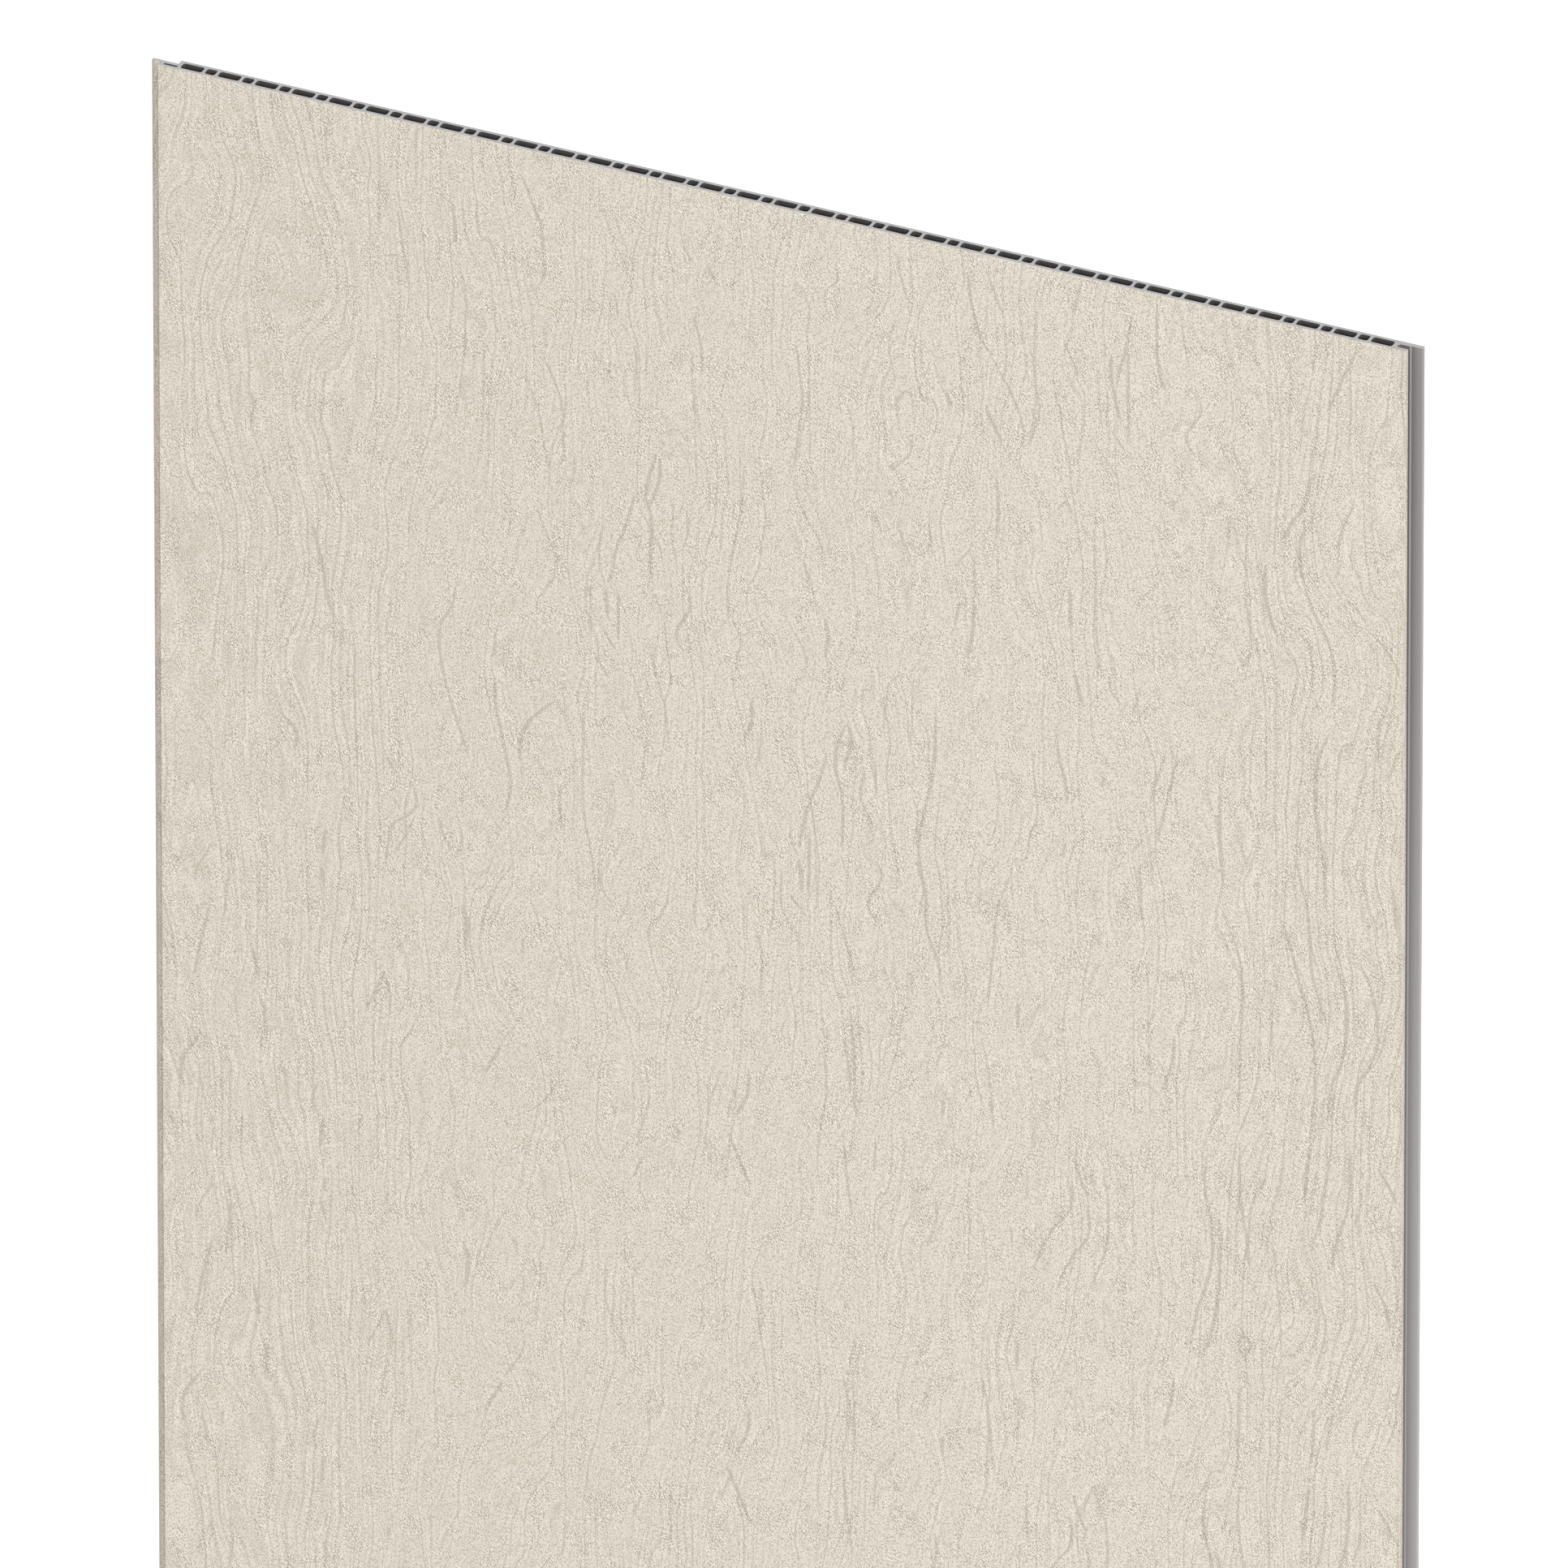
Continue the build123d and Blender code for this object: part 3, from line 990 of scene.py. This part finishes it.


# %% [markdown]
# ## The film's finish
# The film is a matt vinyl print under an embossing roller. Its pale greige is painted lighter towards the
# right as painted light, and darkens in soft bands along the grain, most of all in the two bundles. Pits
# darken it everywhere.
# In some patches the emboss stands higher; there the colour is painted paler and its raised points get
# painted glints.
# All of it is worked out on the flat film's place, so it runs round the edges, and painted shade darkens the
# face's right edge and the tongue.

# %% Film material
def film_material():
    """Pale greige print with grain lines and specks under a fine emboss, with painted light, glints and
    shade.
    """
    material, tree, shader = new_material("embossed_film", 0.7)
    place = add_node(tree, "ShaderNodeAttribute", attribute_name="print_place").outputs["Vector"]
    height = use(tree, sloped_height(), Place=place)
    parts = parts_of(tree, place)
    across = parts["X"]
    bundled = side_bundles(tree, across)
    strength, painted_rim = film_lines(tree, place, height, bundled)
    speck = film_specks(tree, place)
    rough_patch = ease(tree, noise(tree, place, (11, 16, 1), detail=1.0), 0.42, 0.68, 0.25, 1.0)

    with_grain = place_of(tree, height["Height"], parts["Y"])
    fibre = ease(tree, noise(tree, with_grain, (2.4, 30, 1), detail=1.0), 0.3, 0.7)
    shade = calculate(tree, "MULTIPLY", bundled, calculate(tree, "MULTIPLY_ADD", fibre, -0.16, 0.16))
    broken = ease(tree, speck, 0.38, 0.56, 1.6, 0.55)
    strength = calculate(tree, "MULTIPLY", calculate(tree, "ADD", strength, shade), broken)

    # painted light: the print is made lighter towards the right
    painted_light_drift = ease(tree, across, 0.0, 560.0)
    swing = calculate(tree, "MULTIPLY", fibre, calculate(tree, "MULTIPLY_ADD", bundled, 0.3, 0.4))
    lightness = calculate(tree, "MULTIPLY_ADD", painted_light_drift, 0.6, swing)
    pale = mixed(tree, lightness, srgb(207, 200, 188), srgb(222, 215, 204))
    # painted sheen: the rough patches are painted paler
    pale = mixed(tree, calculate(tree, "MULTIPLY", rough_patch, 0.3), pale, srgb(249, 236, 217))
    # painted highlight: pale rims beside the lines
    pale = mixed(tree, calculate(tree, "MULTIPLY", painted_rim, 0.18), pale, srgb(246, 241, 233))
    tone = mixed(tree, strength, pale, srgb(186, 178, 164))

    # painted highlight: near-white glints on specks in the rough patches
    painted_glints = calculate(tree, "MULTIPLY", ease(tree, speck, 0.55, 0.72, 0.0, 0.6), rough_patch)
    tone = mixed(tree, painted_glints, tone, srgb(253, 248, 239))
    pits = ease(tree, speck, 0.29, 0.50, 1.0, 0.0)
    # dark colour of the printed pits, also used for the painted shade at the right edge
    speck_dark_and_edge_shade = srgb(180, 169, 149)
    tone = mixed(tree, pits, tone, speck_dark_and_edge_shade)
    # painted shade: the face is darkened towards its right edge
    right_edge_painted_shade = ease(tree, across, cover_width / MM - 3.0, cover_width / MM, 0.0, 0.2)
    tone = mixed(tree, right_edge_painted_shade, tone, speck_dark_and_edge_shade)
    # painted shadow: the film on the tongue is darkened as if in the step's shade
    tongue_painted_shadow = ease(tree, across, -6.6, -4.6, 0.6, 0.0)
    tone = mixed(tree, tongue_painted_shadow, tone, srgb(150, 143, 130))
    tree.links.new(tone, shader.inputs["Base Color"])

    relief = {"Strength": rough_patch, "Distance": 0.8 * MM, "Height": film_emboss(tree, place)}
    bump = add_node(tree, "ShaderNodeBump", relief)
    tree.links.new(bump.outputs[0], shader.inputs["Normal"])
    return material


film.data.materials.append(film_material())
film.data.materials.append(film.data.materials[0])

# %% [markdown]
# ## Effects that the board's finishes share
# Two effects serve more than one finish, so they are node groups: the fine streaks that the die leaves along
# the length, and a share that fades from the sawn ends inwards.

# %% Effects on the board
def millimetres(tree):
    """The place on the object in millimetres."""
    place = add_node(tree, "ShaderNodeTexCoord").outputs["Object"]
    return scaled(tree, place, (MM, MM, MM))


def make_die_streaks():
    """Streak = noise drawn out along the length: Width across and Length along, in millimetres."""
    group, given, result = new_group("die streaks", ["Place", "Width", "Length"], ["Streak"])
    size = {"X": given["Width"], "Y": given["Length"], "Z": given["Width"]}
    size = add_node(group, "ShaderNodeCombineXYZ", size).outputs[0]
    drawn_out = vector_math(group, "DIVIDE", given["Place"], size)[0]
    group.links.new(noise(group, drawn_out, (1, 1, 1), detail=2.0, flat=False), result["Streak"])
    return group


def make_near_end():
    """Share = 1 at the panel's sawn ends, easing to 0 where Reach in millimetres further in."""
    group, given, result = new_group("near a sawn end", ["Place", "Reach"], ["Share"])
    along = calculate(group, "ABSOLUTE", parts_of(group, given["Place"])["Y"])
    from_end = calculate(group, "SUBTRACT", half_length / MM, along)
    group.links.new(ease(group, from_end, 0.0, given["Reach"], 1.0, 0.0), result["Share"])
    return group


die_streaks = make_die_streaks()
near_end = make_near_end()


# %% [markdown]
# ## The board's finishes
# The extruded skin is a mid grey with fine streaks. On the flange shade is painted into it: darkest beside
# the groove and towards the sawn end, with a painted highlight along the bevel. The sawn ends are paler and
# matt. The chambers' walls are painted dark as shade, and paler just inside the end as painted light. Each
# finish is a material of its own.

# %% Board materials
def board_skin():
    """The extruded skin: grey and streaked, with painted shade on the flange and a painted highlight on its
    bevel.
    """
    material, tree, shader = new_material("extruded_skin", 0.45)
    place = millimetres(tree)
    streak = use(tree, die_streaks, Place=place, Width=0.6, Length=260.0)[0]
    tone = mixed(tree, streak, srgb(166, 163, 163), srgb(174, 171, 171))
    x = parts_of(tree, place)["X"]
    left_side = (face_left + flange_start) / MM
    right_side = (face_left + flange_tip) / MM
    # painted shade: the flange is darkened beside the groove and towards the sawn ends
    groove_painted_shade = ease(tree, x, left_side - 1.0, right_side + 1.0, 0.58, 0.13)
    end_painted_shade = use(tree, near_end, Place=place, Reach=450.0)[0]
    painted_flange_shade = calculate(tree, "MULTIPLY_ADD", end_painted_shade, 0.36, groove_painted_shade)
    painted_flange_shade = calculate(tree, "MULTIPLY", painted_flange_shade, ease(tree, x, left_side - 8.0, left_side - 6.0))
    tone = mixed(tree, painted_flange_shade, tone, srgb(112, 108, 107))
    bevel_start = left_side - flange_bevel / MM
    # painted highlight: a paler line along the flange's bevel
    bevel_painted_highlight = ease(tree, x, bevel_start - 0.1, bevel_start)
    bevel_painted_highlight = calculate(tree, "MULTIPLY", bevel_painted_highlight, ease(tree, x, left_side, left_side + 0.3, 1.0, 0.0))
    tone = mixed(tree, bevel_painted_highlight, tone, srgb(151, 148, 148))
    tree.links.new(tone, shader.inputs["Base Color"])
    return material


def sawn_end():
    """The sawn end: paler than the skin, with a fine matt tooth from the blade."""
    material, tree, shader = new_material("sawn_end", 0.8)
    tooth = noise(tree, millimetres(tree), (0.5, 0.5, 0.5), detail=2.0, flat=False)
    tone = mixed(tree, tooth, srgb(168, 167, 168), srgb(180, 179, 180))
    tree.links.new(tone, shader.inputs["Base Color"])
    return material


def chamber_wall_painted_shade():
    """The wall inside a chamber: painted dark as shade, painted paler just inside the end, streaked along
    the length.
    """
    material, tree, shader = new_material("chamber_wall_painted_shade", 0.7)
    place = millimetres(tree)
    streak = use(tree, die_streaks, Place=place, Width=0.8, Length=120.0)[0]
    # painted shade: the walls inside the chambers are painted dark
    tone = mixed(tree, streak, srgb(27, 25, 24), srgb(35, 33, 32))
    # painted light: paler just inside the mouth, where light gets in
    mouth_painted_light = use(tree, near_end, Place=place, Reach=3.5)[0]
    tone = mixed(tree, mouth_painted_light, tone, srgb(76, 74, 72))
    tree.links.new(tone, shader.inputs["Base Color"])
    return material


for finish in (board_skin(), sawn_end(), chamber_wall_painted_shade()):
    board.data.materials.append(finish)

# %% [markdown]
# ## The floor
# The floor glows white only where the camera, a reflection or a clear material sees it. To all other rays it
# is a plain pale board, so it throws a natural light on the panel and still shows the panel's shadow.

# %% Floor
FLOOR_REACH = 60.0
FLOOR_GLOW = 0.6


def seen_directly(tree):
    """1 for rays from the camera, from a reflection or through a clear material, and 0 for all others."""
    rays = add_node(tree, "ShaderNodeLightPath").outputs
    seen = calculate(tree, "MAXIMUM", rays["Is Camera Ray"], rays["Is Glossy Ray"])
    return calculate(tree, "MAXIMUM", seen, rays["Is Transmission Ray"])


corners = [(x * FLOOR_REACH, y * FLOOR_REACH, 0) for x, y in ((-1, -1), (1, -1), (1, 1), (-1, 1))]
floor_mesh = bpy.data.meshes.new("floor")
floor_mesh.from_pydata(corners, [], [(0, 1, 2, 3)])
floor = bpy.data.objects.new("floor", floor_mesh)
bpy.context.scene.collection.objects.link(floor)
floor_material, tree, shader = new_material("white_floor", 1.0)
shader.inputs["Base Color"].default_value = (0.8, 0.8, 0.8, 1.0)
shader.inputs["Specular IOR Level"].default_value = 0.0
shader.inputs["Emission Color"].default_value = (1.0, 1.0, 1.0, 1.0)
glow = calculate(tree, "MULTIPLY", seen_directly(tree), FLOOR_GLOW)
tree.links.new(glow, shader.inputs["Emission Strength"])
floor.data.materials.append(floor_material)

# %% [markdown]
# ## The camera
# It stands at the place worked out above and looks along the line of sight found from the photo's edges.
# The picture's lower edge cuts the panel, as it does in the photo.

# %% Camera
camera_data = bpy.data.cameras.new("camera")
camera_data.lens = LENS
camera_data.sensor_width = SENSOR
camera_data.clip_end = 200.0
camera = bpy.data.objects.new("camera", camera_data)
bpy.context.scene.collection.objects.link(camera)
turn = Matrix((right, up, back)).transposed().to_4x4()
camera.matrix_world = Matrix.Translation(aim + back * distance) @ turn
bpy.context.scene.camera = camera
print(f"camera {distance:.1f} m away")

# %% [markdown]
# ## The light
# A product photo has a large soft lamp and white walls all round. A wide sun does for the lamp, so that
# edges get only a hint of shade, and a plain white world does for the walls. The sun stands to the right
# and towards the end that shows, and the emboss casts its small shades the other way.

# %% Light
world = bpy.data.worlds.new("world")
bpy.context.scene.world = world
world.use_nodes = True
tree = world.node_tree
tree.nodes.clear()
sky = add_node(tree, "ShaderNodeBackground", {"Color": (1, 1, 1, 1), "Strength": 0.6})
white = add_node(tree, "ShaderNodeBackground", {"Color": (1, 1, 1, 1), "Strength": 1.0})
seen = seen_directly(tree)
either = add_node(tree, "ShaderNodeMixShader", {0: seen, 1: sky.outputs[0], 2: white.outputs[0]})
add_node(tree, "ShaderNodeOutputWorld", {"Surface": either.outputs[0]})
sun_data = bpy.data.lights.new("sun", "SUN")
sun_data.energy = 2.3
sun_data.angle = math.radians(30)
sun = bpy.data.objects.new("sun", sun_data)
bpy.context.scene.collection.objects.link(sun)
sun_direction = Vector((0.55, 0.50, 0.67)).normalized()
sun.rotation_mode = "QUATERNION"
sun.rotation_quaternion = sun_direction.to_track_quat("Z", "Y")

# %% Colour management
bpy.context.scene.view_settings.view_transform = "Standard"
